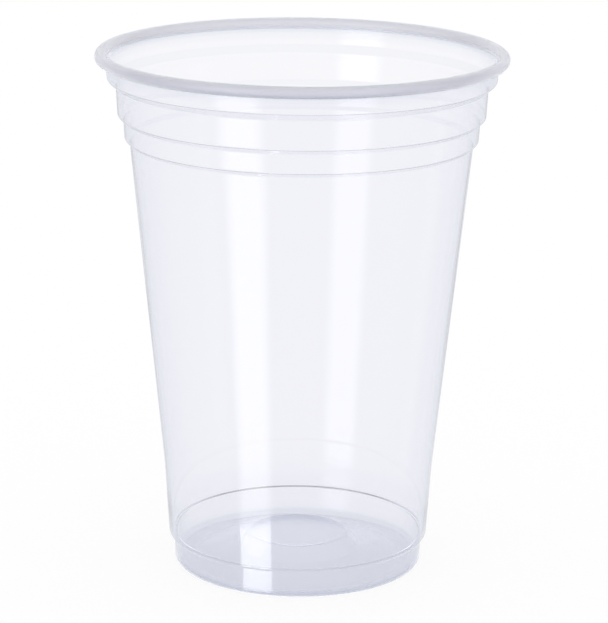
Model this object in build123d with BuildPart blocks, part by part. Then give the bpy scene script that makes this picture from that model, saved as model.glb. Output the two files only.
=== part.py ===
"""Clear disposable cup, drawn from a single sheet of polypropylene.

One thin sheet makes the whole cup: a pushed-up base, a foot, a tapered wall, three stacking ledges
under the lip and a hollow rim rolled outwards. The rim and the base keep the sheet's own thickness, and
the wall between them is drawn thinner. The sheet's outer face is drawn as half a section, given its
thickness towards the inside and turned about the axis.

Millimetres, +Z up. The origin is on the axis, on the surface that the cup stands on.
"""
import os
from math import acos, atan2, cos, degrees, radians, sin, tan

from build123d import *

# Sheet: its own thickness, which the rim and the base keep, and its thickness in the drawn wall
SHEET = 0.40
WALL = 0.24

# Rolled rim: its size outside, and the slit that the cut end of the sheet keeps from the lip
HEIGHT = 122.6
RIM_DIAMETER = 95.0
CURL_DIAMETER = 2.7
CURL_GAP = 0.4

# Lip, from the top of the rim down to the first ledge, and the length over which it thickens
LIP_DEPTH = 6.4
LIP_DRAFT = 5.2
LIP_TAPER = 3.0

# Stacking ledges and the bands between them, from the lip down, with the inside of their bends
LEDGE_SLOPE = 40.0
UPPER_LEDGE = 2.0
UPPER_BAND = 8.3
MIDDLE_LEDGE = 1.35
LOWER_BAND = 5.5
LOWER_LEDGE = 1.2
BAND_DRAFT = 3.0
LEDGE_BEND = 0.55

# Wall: the lowest stretch leans out less than the rest, and an arc of the knee's length joins the two.
# The sheet keeps its thickness for a little above the shoulder, and thins out over the next stretch.
LOWER_WALL_TOP = 23.6
LOWER_WALL_DRAFT = 3.5
KNEE_LENGTH = 6.0
THICK_WALL = 2.0
WALL_TAPER = 6.0

# Foot and shoulder. Inside, the shoulder is the ledge that a like cup stands on when two are stacked,
# and the undercut drops its outer edge below its inner one.
FOOT_DIAMETER = 58.6
FOOT_HEIGHT = 7.0
FOOT_DRAFT = 0.5
HEEL_RADIUS = 1.1
SHOULDER = 1.3
UNDERCUT = 0.45
SHOULDER_BEND = 0.15

# Base: a flat standing ring, and a round panel that a shallow cone and a steep flank lift off the table
STANDING_RING = 3.6
PANEL_DIAMETER = 23.0
PANEL_RISE = 5.9
FLANK_WIDTH = 2.8
FLANK_HEIGHT = 3.0
BASE_BEND = 1.2


def lean(point, level, draft):
    """The point at a level on the straight wall through a point, which leans out by the draft."""
    radius, height = point
    return radius + (level - height) * tan(radians(draft)), level


def step(point, width):
    """The other end of a ledge of that width, outwards and up, or inwards and down if negative."""
    radius, height = point
    return radius + width, height + width * tan(radians(LEDGE_SLOPE))


def inner_face(point, draft, thickness):
    """The point across the sheet from one on its outer face, where the wall leans out by the draft."""
    radius, height = point
    return radius - thickness * cos(radians(draft)), height + thickness * sin(radians(draft))


# Rim: the lip's outer face runs into the inside of the curl
curl_radius = CURL_DIAMETER / 2
curl_inside = curl_radius - SHEET
curl_turn = 360 - degrees(acos((curl_inside - CURL_GAP) / curl_radius))
curl_centre = (RIM_DIAMETER / 2 - curl_radius, HEIGHT - curl_radius)
lip_top = inner_face(curl_centre, LIP_DRAFT, curl_inside)
lip_start = lean(lip_top, lip_top[1] - LIP_TAPER, LIP_DRAFT)
lip_direction = (sin(radians(LIP_DRAFT)), cos(radians(LIP_DRAFT)))

# Ledges, each an outer corner above and an inner corner below
upper_outer = lean(lip_top, HEIGHT - LIP_DEPTH, LIP_DRAFT)
upper_inner = step(upper_outer, -UPPER_LEDGE)
middle_outer = lean(upper_inner, upper_outer[1] - UPPER_BAND, BAND_DRAFT)
middle_inner = step(middle_outer, -MIDDLE_LEDGE)
lower_outer = lean(middle_inner, middle_outer[1] - LOWER_BAND, BAND_DRAFT)
lower_inner = step(lower_outer, -LOWER_LEDGE)

# Base and foot, and the lower wall with the ends of its taper
panel_centre = (0, PANEL_RISE)
panel_edge = (PANEL_DIAMETER / 2, PANEL_RISE)
flank_foot = (panel_edge[0] + FLANK_WIDTH, panel_edge[1] - FLANK_HEIGHT)
ring_inside = (FOOT_DIAMETER / 2 - HEEL_RADIUS - STANDING_RING, 0)
foot_bottom = (FOOT_DIAMETER / 2, 0)
foot_top = lean(foot_bottom, FOOT_HEIGHT, FOOT_DRAFT)
shoulder = (foot_top[0] + SHOULDER, FOOT_HEIGHT - UNDERCUT)
taper_start = lean(shoulder, shoulder[1] + THICK_WALL, LOWER_WALL_DRAFT)
taper_end = lean(taper_start, taper_start[1] + WALL_TAPER, LOWER_WALL_DRAFT)
knee = lean(shoulder, LOWER_WALL_TOP, LOWER_WALL_DRAFT)
knee_turn = degrees(atan2(lower_inner[0] - knee[0], lower_inner[1] - knee[1])) - LOWER_WALL_DRAFT
knee_radius = KNEE_LENGTH / 2 / tan(radians(abs(knee_turn)) / 2)

# Corners of the outer face, with the radius of each bend. Where that face is on the outer side of a
# bend, the sheet's thickness adds to the radius.
base_bends = [
    (panel_edge, BASE_BEND),
    (flank_foot, BASE_BEND + SHEET),
    (ring_inside, BASE_BEND + SHEET),
    (foot_bottom, HEEL_RADIUS),
    (foot_top, SHOULDER_BEND),
    (shoulder, SHOULDER_BEND + SHEET),
]
wall_bends = [
    (knee, knee_radius),
    (lower_inner, LEDGE_BEND),
    (lower_outer, LEDGE_BEND + WALL),
    (middle_inner, LEDGE_BEND),
    (middle_outer, LEDGE_BEND + WALL),
    (upper_inner, LEDGE_BEND),
    (upper_outer, LEDGE_BEND + WALL),
]

with BuildPart() as cup:
    with BuildSketch(Plane.XZ) as section:
        # Base, foot and shoulder
        with BuildLine() as base_sheet:
            base_corners, base_radii = zip(*base_bends)
            FilletPolyline(panel_centre, *base_corners, taper_start, radius=base_radii)
            offset(amount=SHEET, side=Side.LEFT)
        make_face()
        # Wall and ledges
        with BuildLine() as wall_sheet:
            wall_corners, wall_radii = zip(*wall_bends)
            FilletPolyline(taper_end, *wall_corners, lip_start, radius=wall_radii)
            offset(amount=WALL, side=Side.LEFT)
        make_face()
        # Tapers that join the wall to the base and to the rim
        with BuildLine() as lower_taper:
            Polyline(
                taper_start,
                taper_end,
                inner_face(taper_end, LOWER_WALL_DRAFT, WALL),
                inner_face(taper_start, LOWER_WALL_DRAFT, SHEET),
                close=True,
            )
        make_face()
        with BuildLine() as lip_taper:
            Polyline(
                lip_start,
                lip_top,
                inner_face(lip_top, LIP_DRAFT, SHEET),
                inner_face(lip_start, LIP_DRAFT, WALL),
                close=True,
            )
        make_face()
        # Rolled rim, from the lip's top edge over the outside and back under
        with BuildLine() as curl:
            curl_bore = JernArc(lip_top, lip_direction, curl_inside, -curl_turn)
            curl_skin = JernArc(inner_face(lip_top, LIP_DRAFT, SHEET), lip_direction, curl_radius, -curl_turn)
            Line(curl_bore @ 0, curl_skin @ 0)
            Line(curl_bore @ 1, curl_skin @ 1)
        make_face()
    revolve(axis=Axis.Z)

cup.part.label = "cup"

os.makedirs("parts", exist_ok=True)
export_step(cup.part, "parts/cup.step")
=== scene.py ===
"""A clear disposable cup on a white floor in soft studio light.

The cup is one sheet of polypropylene, drawn into a mould and rolled over at the rim. Its half section is
worked out below and turned about +Z. Sizes are written in millimetres and angles in degrees, and the
scene is in metres.
"""
from math import acos, atan2, radians, tan

import bpy
import numpy as np
from mathutils import Euler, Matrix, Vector


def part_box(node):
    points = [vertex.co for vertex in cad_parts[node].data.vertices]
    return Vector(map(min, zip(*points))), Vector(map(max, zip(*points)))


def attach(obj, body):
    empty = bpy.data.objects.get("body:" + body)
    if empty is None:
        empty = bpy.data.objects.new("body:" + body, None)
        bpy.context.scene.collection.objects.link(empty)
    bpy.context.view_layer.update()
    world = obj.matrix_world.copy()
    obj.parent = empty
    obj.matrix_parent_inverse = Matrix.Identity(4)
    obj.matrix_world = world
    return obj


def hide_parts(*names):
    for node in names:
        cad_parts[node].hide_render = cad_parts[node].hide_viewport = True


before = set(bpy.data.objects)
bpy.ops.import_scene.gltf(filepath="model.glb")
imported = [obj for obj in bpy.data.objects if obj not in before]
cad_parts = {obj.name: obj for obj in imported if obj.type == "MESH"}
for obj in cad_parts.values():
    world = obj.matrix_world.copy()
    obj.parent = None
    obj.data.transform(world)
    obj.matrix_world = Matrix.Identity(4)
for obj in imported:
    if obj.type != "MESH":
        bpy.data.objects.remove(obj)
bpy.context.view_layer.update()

MM = 0.001

# Sheet: its own thickness, which the rim and the base keep, and its thickness in the drawn wall
SHEET = 0.40
WALL = 0.24

# Rolled rim and lip, with the overall size taken from the frame
cup_low, cup_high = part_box("cup")
HEIGHT = cup_high.z / MM
RIM_RADIUS = cup_high.x / MM
CURL_RADIUS = 1.35
CURL_GAP = 0.4
LIP_DEPTH = 6.4
LIP_DRAFT = 5.2
LIP_TAPER = 3.0

# Stacking ledges and the bands between them, from the lip down
LEDGE_SLOPE = 40.0
UPPER_LEDGE = 2.0
UPPER_BAND = 8.3
MIDDLE_LEDGE = 1.35
LOWER_BAND = 5.5
LOWER_LEDGE = 1.2
BAND_DRAFT = 3.0
LEDGE_BEND = 0.55

# Wall, with the stretch over which it thins, foot, shoulder and base
LOWER_WALL_TOP = 23.6
LOWER_WALL_DRAFT = 3.5
KNEE_LENGTH = 6.0
THICK_WALL = 2.0
WALL_TAPER = 6.0
FOOT_RADIUS = 29.3
FOOT_HEIGHT = 7.0
FOOT_DRAFT = 0.5
HEEL_RADIUS = 1.1
SHOULDER = 1.3
UNDERCUT = 0.45
SHOULDER_BEND = 0.15
STANDING_RING = 3.6
PANEL_RADIUS = 11.5
PANEL_RISE = 5.9
FLANK_WIDTH = 2.8
FLANK_HEIGHT = 3.0
BASE_BEND = 1.2

# How much of the sheet is undrawn, with painted shade added: nothing of it in the wall, and all of it in the
# rim. The base's share is partly painted shade under the cup. The ledges' share, painted shade along their
# lines, goes from none to all of it between these two parts of a ledge's tilt.
BASE_UNDRAWN_AND_SHADE = 0.6
LEDGE_PAINTED_SHADE = 0.13
FOOT_UNDRAWN = 0.15
LEDGE_TILTS = (0.2, 0.9)

# Finish: the roughness of the wall, which differs over patches of that size, and of the rim. The draw leaves
# waves of that width and height, and their pattern's axial coordinate is squeezed, so that they are long
# along the axis.
WALL_ROUGHNESS = (0.01, 0.03)
RIM_ROUGHNESS = 0.29
HAZE_PATCH = 14.0
WAVE_WIDTH = 9.0
WAVE_HEIGHT = 0.3
WAVE_STRENGTH = 0.15
WAVE_SQUEEZE = 0.12

# The renderer gives up a ray after so many mirrorings, and such a ray is then given this much painted glow,
# in the wall and in the thick sheet of the rim and the base: the sheet glows there though it is no lamp
MOST_MIRRORINGS = 4
WALL_PAINTED_GLOW = 0.17
THICK_PAINTED_GLOW = 0.72

# How finely the section and its turning are divided. A run's first point lies that share of it past the
# bend, because the bend has a point of its own at its end.
BEND_POINTS = 8
CURL_POINTS = 36
END_POINTS = 5
RUN_POINTS = 3
RUN_START = 0.004
SEGMENTS = 240

# Camera, solved from the photograph: the image's size, the focal length in its pixels, and the place
IMAGE = (608, 623)
FOCAL_PIXELS = 2711.8
SENSOR = 36.0
CAMERA_PLACE = (0.98, -613.9, 228.65)
CAMERA_PITCH = 15.316
CAMERA_ROLL = 0.614

# Softboxes. The azimuth is counted from the camera's side towards +X, and the middle is moved aside. The
# fades are shares of the width and of the height, and the crossings are the faces of the sheet that its
# light may cross on the way to the camera. The tall one lights the wall, and the small one the foot's near
# side.
SOFTBOXES = {
    "wall_softbox": {
        "azimuth": -37.5, "distance": 800.0, "aside": 0.0, "width": 520.0, "low": -450.0, "high": 350.0,
        "brightness": 1.25, "fades": (0.3, 0.02), "crossings": 12},
    "foot_softbox": {
        "azimuth": -43.0, "distance": 70.0, "aside": 17.2, "width": 29.5, "low": -27.0, "high": -0.6,
        "brightness": 2.3, "fades": (0.03, 0.2), "crossings": 2},
}

FLOOR_RADIUS = 4000.0
FLOOR_SIDES = 96
FLOOR_WHITE = 0.1
FLOOR_GAP = 0.05


def linear(colour):
    """An sRGB hex colour as linear RGBA: each channel through the sRGB curve."""
    channels = np.array([int(colour[i:i + 2], 16) for i in (1, 3, 5)]) / 255
    curve = np.where(channels <= 0.04045, channels / 12.92, ((channels + 0.055) / 1.055) ** 2.4)
    return (*curve.tolist(), 1.0)


def add_node(tree, kind, inputs, **settings):
    """Adds a node with its settings. An input is a value, or an earlier node's output to link."""
    made = tree.nodes.new(kind)
    for name, value in settings.items():
        setattr(made, name, value)
    for name, value in inputs.items():
        if isinstance(value, bpy.types.NodeSocket):
            tree.links.new(value, made.inputs[name])
        else:
            made.inputs[name].default_value = value
    return made


def lean(point, level, draft):
    """The point at a level on the straight wall through a point, which leans out by the draft."""
    return np.array([point[0] + (level - point[1]) * tan(radians(draft)), level])


def step(point, width):
    """The other end of a ledge of that width, outwards and up, or inwards and down if negative."""
    return np.array([point[0] + width, point[1] + width * tan(radians(LEDGE_SLOPE))])


def arcs(starts, headings, turns, radii, count):
    """Points and left-hand normals of tangent arcs. The heading goes evenly from its first value through
    the turn, the normal is the heading turned left, and the point is the arc's centre less the normal
    times the radius, which is negative where the arc turns right."""
    angle = headings[:, None] + turns[:, None] * np.linspace(0, 1, count)
    normal = np.stack([-np.sin(angle), np.cos(angle)], axis=-1)
    bulge = (np.sign(turns) * radii)[:, None]
    centre = starts + bulge * normal[:, 0]
    return centre[:, None] - bulge[:, None] * normal, normal


def sheet_line():
    """The sheet from the axis to the rolled edge: points of its outer face, left-hand normals, which point
    into the sheet, its thickness, and how much of it is undrawn, with painted shade at the base and the
    ledges, from 0 in the wall to 1 in the rim.
    Straight runs join the corners, each bend is an arc that starts the radius times the tangent of half the
    turn short of its corner, and the rim is one more arc that goes on from the lip. A run's points lie
    closer together towards its ends, by a cosine."""
    curl_inside = CURL_RADIUS - SHEET
    curl_turn = -2 * np.pi + acos((curl_inside - CURL_GAP) / CURL_RADIUS) + SHEET / 2 / CURL_RADIUS
    lip_heading = radians(90 - LIP_DRAFT)
    curl_centre = np.array([RIM_RADIUS - CURL_RADIUS, HEIGHT - CURL_RADIUS])
    lip_top = curl_centre + curl_inside * np.array([-np.sin(lip_heading), np.cos(lip_heading)])
    upper_outer = lean(lip_top, HEIGHT - LIP_DEPTH, LIP_DRAFT)
    upper_inner = step(upper_outer, -UPPER_LEDGE)
    middle_outer = lean(upper_inner, upper_outer[1] - UPPER_BAND, BAND_DRAFT)
    middle_inner = step(middle_outer, -MIDDLE_LEDGE)
    lower_outer = lean(middle_inner, middle_outer[1] - LOWER_BAND, BAND_DRAFT)
    lower_inner = step(lower_outer, -LOWER_LEDGE)
    foot_bottom = (FOOT_RADIUS, 0)
    foot_top = lean(foot_bottom, FOOT_HEIGHT, FOOT_DRAFT)
    shoulder = foot_top + (SHOULDER, -UNDERCUT)
    knee = lean(shoulder, LOWER_WALL_TOP, LOWER_WALL_DRAFT)
    knee_turn = atan2(lower_inner[0] - knee[0], lower_inner[1] - knee[1]) - radians(LOWER_WALL_DRAFT)
    panel_edge = np.array([PANEL_RADIUS, PANEL_RISE])
    ring_inside = (FOOT_RADIUS - HEEL_RADIUS - STANDING_RING, 0)
    bends = [
        (panel_edge, BASE_BEND),
        (panel_edge + (FLANK_WIDTH, -FLANK_HEIGHT), BASE_BEND + SHEET),
        (ring_inside, BASE_BEND + SHEET),
        (foot_bottom, HEEL_RADIUS),
        (foot_top, SHOULDER_BEND),
        (shoulder, SHOULDER_BEND + SHEET),
        (knee, KNEE_LENGTH / 2 / tan(knee_turn / 2)),
        (lower_inner, LEDGE_BEND),
        (lower_outer, LEDGE_BEND + WALL),
        (middle_inner, LEDGE_BEND),
        (middle_outer, LEDGE_BEND + WALL),
        (upper_inner, LEDGE_BEND),
        (upper_outer, LEDGE_BEND + WALL),
    ]
    corners = np.array([(0, PANEL_RISE), *(corner for corner, _ in bends), lip_top])
    radii = np.array([radius for _, radius in bends])
    runs = np.diff(corners, axis=0)
    headings = np.arctan2(runs[:, 1], runs[:, 0])
    turns = np.diff(headings)
    along = np.stack([np.cos(headings), np.sin(headings)], axis=-1)
    setback = radii * np.tan(np.abs(turns) / 2)
    starts = corners[1:-1] - along[:-1] * setback[:, None]
    bend, bend_normal = arcs(starts, headings[:-1], turns, radii, BEND_POINTS)
    run_from = np.concatenate([corners[:1], bend[:, -1]])
    run_to = np.concatenate([bend[:, 0], corners[-1:]])
    share = (1 - np.cos(np.pi * np.arange(RUN_POINTS + 1) / (RUN_POINTS + 1)))[:, None] / 2
    share = np.where(np.arange(RUN_POINTS + 1)[:, None] == 0, RUN_START, share)
    run = run_from[:, None] + (run_to - run_from)[:, None] * share
    run[0, 0] = corners[0]
    run_normal = np.stack([-np.sin(headings), np.cos(headings)], axis=-1)[:, None]
    run_normal = np.broadcast_to(run_normal, run.shape)
    curl, curl_normal = arcs(lip_top[None], headings[-1:], np.array([curl_turn]),
                             np.array([curl_inside]), CURL_POINTS)
    points = np.concatenate([
        np.concatenate([run[:-1], bend], axis=1).reshape(-1, 2), run[-1], curl[0]])
    normals = np.concatenate([
        np.concatenate([run_normal[:-1], bend_normal], axis=1).reshape(-1, 2), run_normal[-1],
        curl_normal[0]])

    rolled = np.arange(len(points)) >= len(points) - CURL_POINTS
    thin_from = shoulder[1] + THICK_WALL
    levels = [thin_from, thin_from + WALL_TAPER, lip_top[1] - LIP_TAPER, lip_top[1]]
    thickness = np.interp(points[:, 1], levels, [SHEET, WALL, WALL, SHEET])
    thickness = np.where(rolled, SHEET, thickness)
    levels = [HEEL_RADIUS, 2 * HEEL_RADIUS, *levels]
    undrawn_and_painted_shade = np.interp(points[:, 1], levels, [BASE_UNDRAWN_AND_SHADE, FOOT_UNDRAWN, FOOT_UNDRAWN, 0, 0, 1])
    # The ledges get a share more, painted shade along their lines.
    sloped = np.abs(normals[:, 1]) / np.cos(radians(LEDGE_SLOPE))
    undrawn_and_painted_shade += LEDGE_PAINTED_SHADE * np.interp(sloped, LEDGE_TILTS, [0, 1]) * (points[:, 1] > LOWER_WALL_TOP)
    # Everything inside the heel gets the base's share, which is partly painted shade under the cup.
    undrawn_and_painted_shade = np.where(points[:, 0] < FOOT_RADIUS - HEEL_RADIUS, BASE_UNDRAWN_AND_SHADE, undrawn_and_painted_shade)
    undrawn_and_painted_shade = np.where(rolled, 1, undrawn_and_painted_shade)
    return points, normals, thickness, undrawn_and_painted_shade


def turned_cup():
    """The cup's closed surface: the sheet's outer face, then its inner face back to the axis, which is the
    outer one moved by the thickness along its normals. A half circle rounds the sheet's cut end between the
    two, and the inner normals tilt by the slope of the thickness.
    A point of that section at radius r and height z goes to (r sin a, -r cos a, z) at each angle a, and the
    two ends on the axis are closed by fans."""
    face, inward, thickness, undrawn_and_painted_shade = sheet_line()
    heading = np.arctan2(-inward[-1:, 0], inward[-1:, 1])
    end, end_inward = arcs(face[-1:], heading, np.array([np.pi]), thickness[-1:] / 2, END_POINTS + 2)
    length = np.concatenate([[0], np.cumsum(np.linalg.norm(np.diff(face, axis=0), axis=1))])
    along = np.stack([inward[:, 1], -inward[:, 0]], axis=-1)
    tilted = inward - np.gradient(thickness, length)[:, None] * along
    tilted /= np.linalg.norm(tilted, axis=1)[:, None]
    section = np.concatenate([face, end[0, 1:-1], (face + thickness[:, None] * inward)[::-1]]) * MM
    outward = np.concatenate([-inward, -end_inward[0, 1:-1], tilted[::-1]])
    angle = np.linspace(0, 2 * np.pi, SEGMENTS, endpoint=False)
    around = np.stack([np.sin(angle), -np.cos(angle)], axis=-1)

    def turn(radial, axial):
        """Values along the section, carried round: the radial one to X and Y, the axial one to Z."""
        flat = radial[:, None, None] * around
        height = np.broadcast_to(axial[:, None, None], (len(axial), SEGMENTS, 1))
        return np.concatenate([flat, height], axis=-1).reshape(-1, 3)

    rings = section[1:-1]
    poles = np.array([(0, 0, section[0, 1]), (0, 0, section[-1, 1])])
    vertices = np.concatenate([turn(rings[:, 0], rings[:, 1]), poles])
    normals = np.concatenate([turn(outward[1:-1, 0], outward[1:-1, 1]), [(0, 0, -1), (0, 0, 1)]])
    here = np.arange(SEGMENTS)
    there = (here + 1) % SEGMENTS
    low = np.arange(len(rings) - 1)[:, None] * SEGMENTS
    high = low + SEGMENTS
    quads = np.stack([low + here, low + there, high + there, high + here], axis=-1).reshape(-1, 4)
    first, last = len(vertices) - 2, len(vertices) - 1
    top = (len(rings) - 1) * SEGMENTS
    under = np.stack([np.full(SEGMENTS, first), there, here], axis=-1)
    over = np.stack([np.full(SEGMENTS, last), top + here, top + there], axis=-1)
    mesh = bpy.data.meshes.new("clear_cup")
    mesh.from_pydata(vertices.tolist(), [], quads.tolist() + under.tolist() + over.tolist())
    share = np.concatenate([undrawn_and_painted_shade, np.ones(END_POINTS), undrawn_and_painted_shade[::-1]])[1:-1]
    share = np.concatenate([np.repeat(share, SEGMENTS), undrawn_and_painted_shade[:1], undrawn_and_painted_shade[:1]])
    mesh.attributes.new("undrawn_and_painted_shade", "FLOAT", "POINT").data.foreach_set("value", share)
    mesh.shade_smooth()
    mesh.normals_split_custom_set_from_vertices(normals.tolist())
    cup = bpy.data.objects.new("clear_cup", mesh)
    bpy.context.scene.collection.objects.link(cup)
    return cup


def clarified_polypropylene():
    """Clarified polypropylene sheet, drawn over a polished mould. The wall is clear and glossy, with shallow
    waves that the draw leaves along it. The rim isn't drawn and the base only a little, so both are greyer
    and hazier, and the base is bluer. The base's darker colour is partly painted shade under the cup, and the
    ledges carry a little painted shade along their lines.
    Light that the sheet mirrors inside itself again and again comes out in the end, but the renderer cuts it
    off and leaves black lines. So the sheet has a painted glow that stands in for it: a ray gets that glow
    once it has all the mirrorings that the renderer allows, more of it where the sheet is thick. Other rays
    get none."""
    material = bpy.data.materials.new("clarified polypropylene, drawn gloss sheet")
    material.use_nodes = True
    tree = material.node_tree
    tree.nodes.clear()
    place = add_node(tree, "ShaderNodeTexCoord", {})
    undrawn_and_painted_shade = add_node(tree, "ShaderNodeAttribute", {}, attribute_name="undrawn_and_painted_shade")
    colour = add_node(tree, "ShaderNodeValToRGB", {"Fac": undrawn_and_painted_shade.outputs["Fac"]})
    stops = colour.color_ramp.elements
    stops[0].color = linear("#FAFAFD")
    stops[1].color = linear("#F2F2F6")
    # The base's darker, bluer colour is partly its thicker sheet and partly painted shade under the cup.
    stops.new(BASE_UNDRAWN_AND_SHADE).color = linear("#E9EBF3")
    haze = add_node(tree, "ShaderNodeTexNoise", {
        "Vector": place.outputs["Object"], "Scale": 1 / (HAZE_PATCH * MM), "Detail": 3.0})
    gloss = add_node(tree, "ShaderNodeMapRange", {
        "Value": haze.outputs["Fac"], "From Min": 0.3, "From Max": 0.7,
        "To Min": WALL_ROUGHNESS[0], "To Max": WALL_ROUGHNESS[1]})
    rough = add_node(tree, "ShaderNodeMix", {
        "Factor": undrawn_and_painted_shade.outputs["Fac"], "A": gloss.outputs["Result"], "B": RIM_ROUGHNESS},
        data_type="FLOAT")
    drawn = add_node(tree, "ShaderNodeMapping", {
        "Vector": place.outputs["Object"], "Scale": (1.0, 1.0, WAVE_SQUEEZE)})
    waves = add_node(tree, "ShaderNodeTexNoise", {
        "Vector": drawn.outputs["Vector"], "Scale": 1 / (WAVE_WIDTH * MM), "Detail": 2.0})
    bump = add_node(tree, "ShaderNodeBump", {
        "Height": waves.outputs["Fac"], "Strength": WAVE_STRENGTH, "Distance": WAVE_HEIGHT * MM})
    path = add_node(tree, "ShaderNodeLightPath", {})
    trapped = add_node(tree, "ShaderNodeMath", {
        0: path.outputs["Glossy Depth"], 1: MOST_MIRRORINGS - 0.5}, operation="GREATER_THAN")
    level = add_node(tree, "ShaderNodeMapRange", {
        "Value": undrawn_and_painted_shade.outputs["Fac"], "From Max": BASE_UNDRAWN_AND_SHADE,
        "To Min": WALL_PAINTED_GLOW, "To Max": THICK_PAINTED_GLOW})
    glow = add_node(tree, "ShaderNodeMath", {
        0: trapped.outputs["Value"], 1: level.outputs["Result"]}, operation="MULTIPLY")
    plastic = add_node(tree, "ShaderNodeBsdfPrincipled", {
        "Base Color": colour.outputs["Color"], "Roughness": rough.outputs["Result"], "IOR": 1.49,
        "Transmission Weight": 1.0, "Normal": bump.outputs["Normal"],
        "Emission Color": linear("#FFFFFF"), "Emission Strength": glow.outputs["Value"]})
    material.cycles.emission_sampling = "NONE"
    add_node(tree, "ShaderNodeOutputMaterial", {"Surface": plastic.outputs["BSDF"]})
    return material


def mirrored(tree, path):
    """1 for a ray that the cup has mirrored on its way from the camera, and 0 for any other."""
    once = add_node(tree, "ShaderNodeMath", {
        0: path.outputs["Glossy Depth"], 1: 0.5}, operation="GREATER_THAN")
    direct = add_node(tree, "ShaderNodeMath", {
        0: path.outputs["Diffuse Depth"], 1: 0.5}, operation="LESS_THAN")
    both = add_node(tree, "ShaderNodeMath", {
        0: once.outputs["Value"], 1: direct.outputs["Value"]}, operation="MULTIPLY")
    return both.outputs["Value"]


def white_floor():
    """A flat disc under the cup, with a film of air between them: a point at radius r and angle a is
    (r cos a, r sin a) at the depth of the film. It is white to the camera and through the cup, and clear to
    what the cup mirrors."""
    angle = np.linspace(0, 2 * np.pi, FLOOR_SIDES, endpoint=False)
    edge = FLOOR_RADIUS * MM * np.stack([np.cos(angle), np.sin(angle), 0 * angle], axis=-1)
    edge -= (0, 0, FLOOR_GAP * MM)
    mesh = bpy.data.meshes.new("floor")
    mesh.from_pydata(edge.tolist(), [], [list(range(FLOOR_SIDES))])
    floor = bpy.data.objects.new("floor", mesh)
    bpy.context.scene.collection.objects.link(floor)
    material = bpy.data.materials.new("white paper sweep")
    material.use_nodes = True
    tree = material.node_tree
    tree.nodes.clear()
    path = add_node(tree, "ShaderNodeLightPath", {})
    seen = add_node(tree, "ShaderNodeMath", {
        0: path.outputs["Is Camera Ray"], 1: path.outputs["Is Transmission Ray"]}, operation="MAXIMUM")
    lift = add_node(tree, "ShaderNodeMath", {
        0: seen.outputs["Value"], 1: 1 - FLOOR_WHITE}, operation="MULTIPLY")
    paper = add_node(tree, "ShaderNodeBsdfDiffuse", {"Color": (FLOOR_WHITE, FLOOR_WHITE, FLOOR_WHITE, 1.0)})
    glow = add_node(tree, "ShaderNodeEmission", {"Strength": lift.outputs["Value"]})
    both = add_node(tree, "ShaderNodeAddShader", {0: paper.outputs["BSDF"], 1: glow.outputs["Emission"]})
    clear = add_node(tree, "ShaderNodeBsdfTransparent", {})
    shown = add_node(tree, "ShaderNodeMixShader", {
        "Fac": mirrored(tree, path), 1: both.outputs["Shader"], 2: clear.outputs["BSDF"]})
    add_node(tree, "ShaderNodeOutputMaterial", {"Surface": shown.outputs["Shader"]})
    mesh.materials.append(material)


def studio():
    """A white room for the floor and for what shows through the cup, and grey for what it mirrors."""
    world = bpy.data.worlds.new("studio")
    bpy.context.scene.world = world
    world.use_nodes = True
    tree = world.node_tree
    tree.nodes.clear()
    path = add_node(tree, "ShaderNodeLightPath", {})
    colour = add_node(tree, "ShaderNodeMix", {
        "Factor": mirrored(tree, path), "A": (1.0, 1.0, 1.0, 1.0), "B": linear("#E6E8EE")},
        data_type="RGBA")
    light = add_node(tree, "ShaderNodeBackground", {"Color": colour.outputs["Result"]})
    add_node(tree, "ShaderNodeOutputWorld", {"Surface": light.outputs["Background"]})


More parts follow.
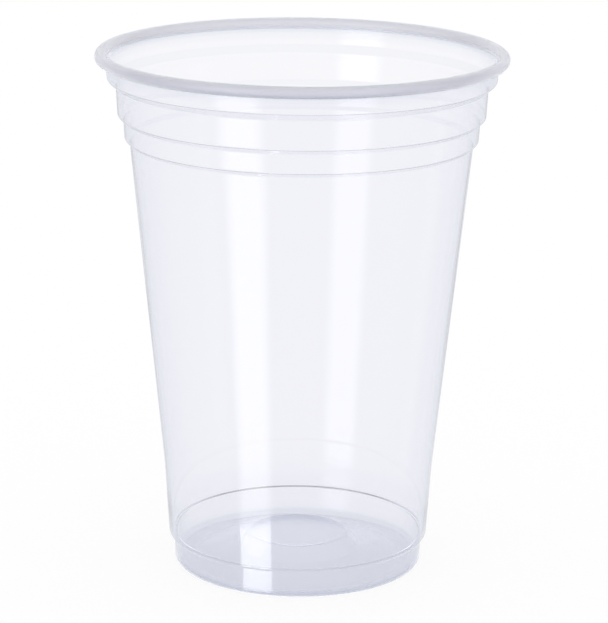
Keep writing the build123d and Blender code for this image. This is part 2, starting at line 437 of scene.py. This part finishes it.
def softbox(name, azimuth, distance, aside, width, low, high, brightness, fades, crossings):
    """An upright panel to the camera's left, which faces the axis and shows only in the cup. It reaches below
    the floor, because the wall leans out and mirrors what is below. Its light goes up from each edge over
    the fade's share of the width or the height, by a smooth step."""
    lamp = bpy.data.lights.new(name, "AREA")
    lamp.shape = "RECTANGLE"
    lamp.size = width * MM
    lamp.size_y = (high - low) * MM
    lamp.energy = np.pi * lamp.size * lamp.size_y
    lamp.use_nodes = True
    tree = lamp.node_tree
    tree.nodes.clear()
    path = add_node(tree, "ShaderNodeLightPath", {})
    level = add_node(tree, "ShaderNodeMath", {
        0: path.outputs["Transmission Depth"], 1: crossings + 0.5}, operation="LESS_THAN").outputs["Value"]
    spot = add_node(tree, "ShaderNodeNewGeometry", {})
    spot = add_node(tree, "ShaderNodeSeparateXYZ", {"Vector": spot.outputs["Parametric"]})
    for way, fade in zip("XY", fades):
        inset = add_node(tree, "ShaderNodeMath", {0: spot.outputs[way], 1: 0.5}, operation="PINGPONG")
        level = add_node(tree, "ShaderNodeMapRange", {
            "Value": inset.outputs["Value"], "From Max": fade, "To Max": level},
            interpolation_type="SMOOTHSTEP").outputs["Result"]
    level = add_node(tree, "ShaderNodeMath", {0: level, 1: brightness}, operation="MULTIPLY").outputs["Value"]
    glow = add_node(tree, "ShaderNodeEmission", {"Strength": level})
    add_node(tree, "ShaderNodeOutputLight", {"Surface": glow.outputs["Emission"]})
    panel = bpy.data.objects.new(name, lamp)
    bpy.context.scene.collection.objects.link(panel)
    turn = radians(azimuth)
    away = Vector((np.sin(turn), -np.cos(turn), 0))
    side = Vector((np.cos(turn), np.sin(turn), 0))
    panel.location = (away * distance + side * aside + Vector((0, 0, (low + high) / 2))) * MM
    panel.rotation_euler = away.to_track_quat("Z", "Y").to_euler()
    panel.visible_camera = False
    panel.visible_diffuse = False


def photo_camera():
    """The photograph's own view."""
    data = bpy.data.cameras.new("camera")
    data.sensor_width = SENSOR
    data.lens = FOCAL_PIXELS * SENSOR / max(IMAGE)
    camera = bpy.data.objects.new("camera", data)
    bpy.context.scene.collection.objects.link(camera)
    camera.location = Vector(CAMERA_PLACE) * MM
    tilt = Euler((radians(90 - CAMERA_PITCH), 0, 0)).to_matrix()
    roll = Euler((0, 0, radians(CAMERA_ROLL))).to_matrix()
    camera.rotation_euler = (tilt @ roll).to_euler()
    bpy.context.scene.camera = camera


cup = turned_cup()
cup.data.materials.append(clarified_polypropylene())
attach(cup, "root")
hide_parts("cup")

white_floor()
studio()
for name, panel in SOFTBOXES.items():
    softbox(name, **panel)
photo_camera()
bpy.context.scene.view_settings.view_transform = "Standard"
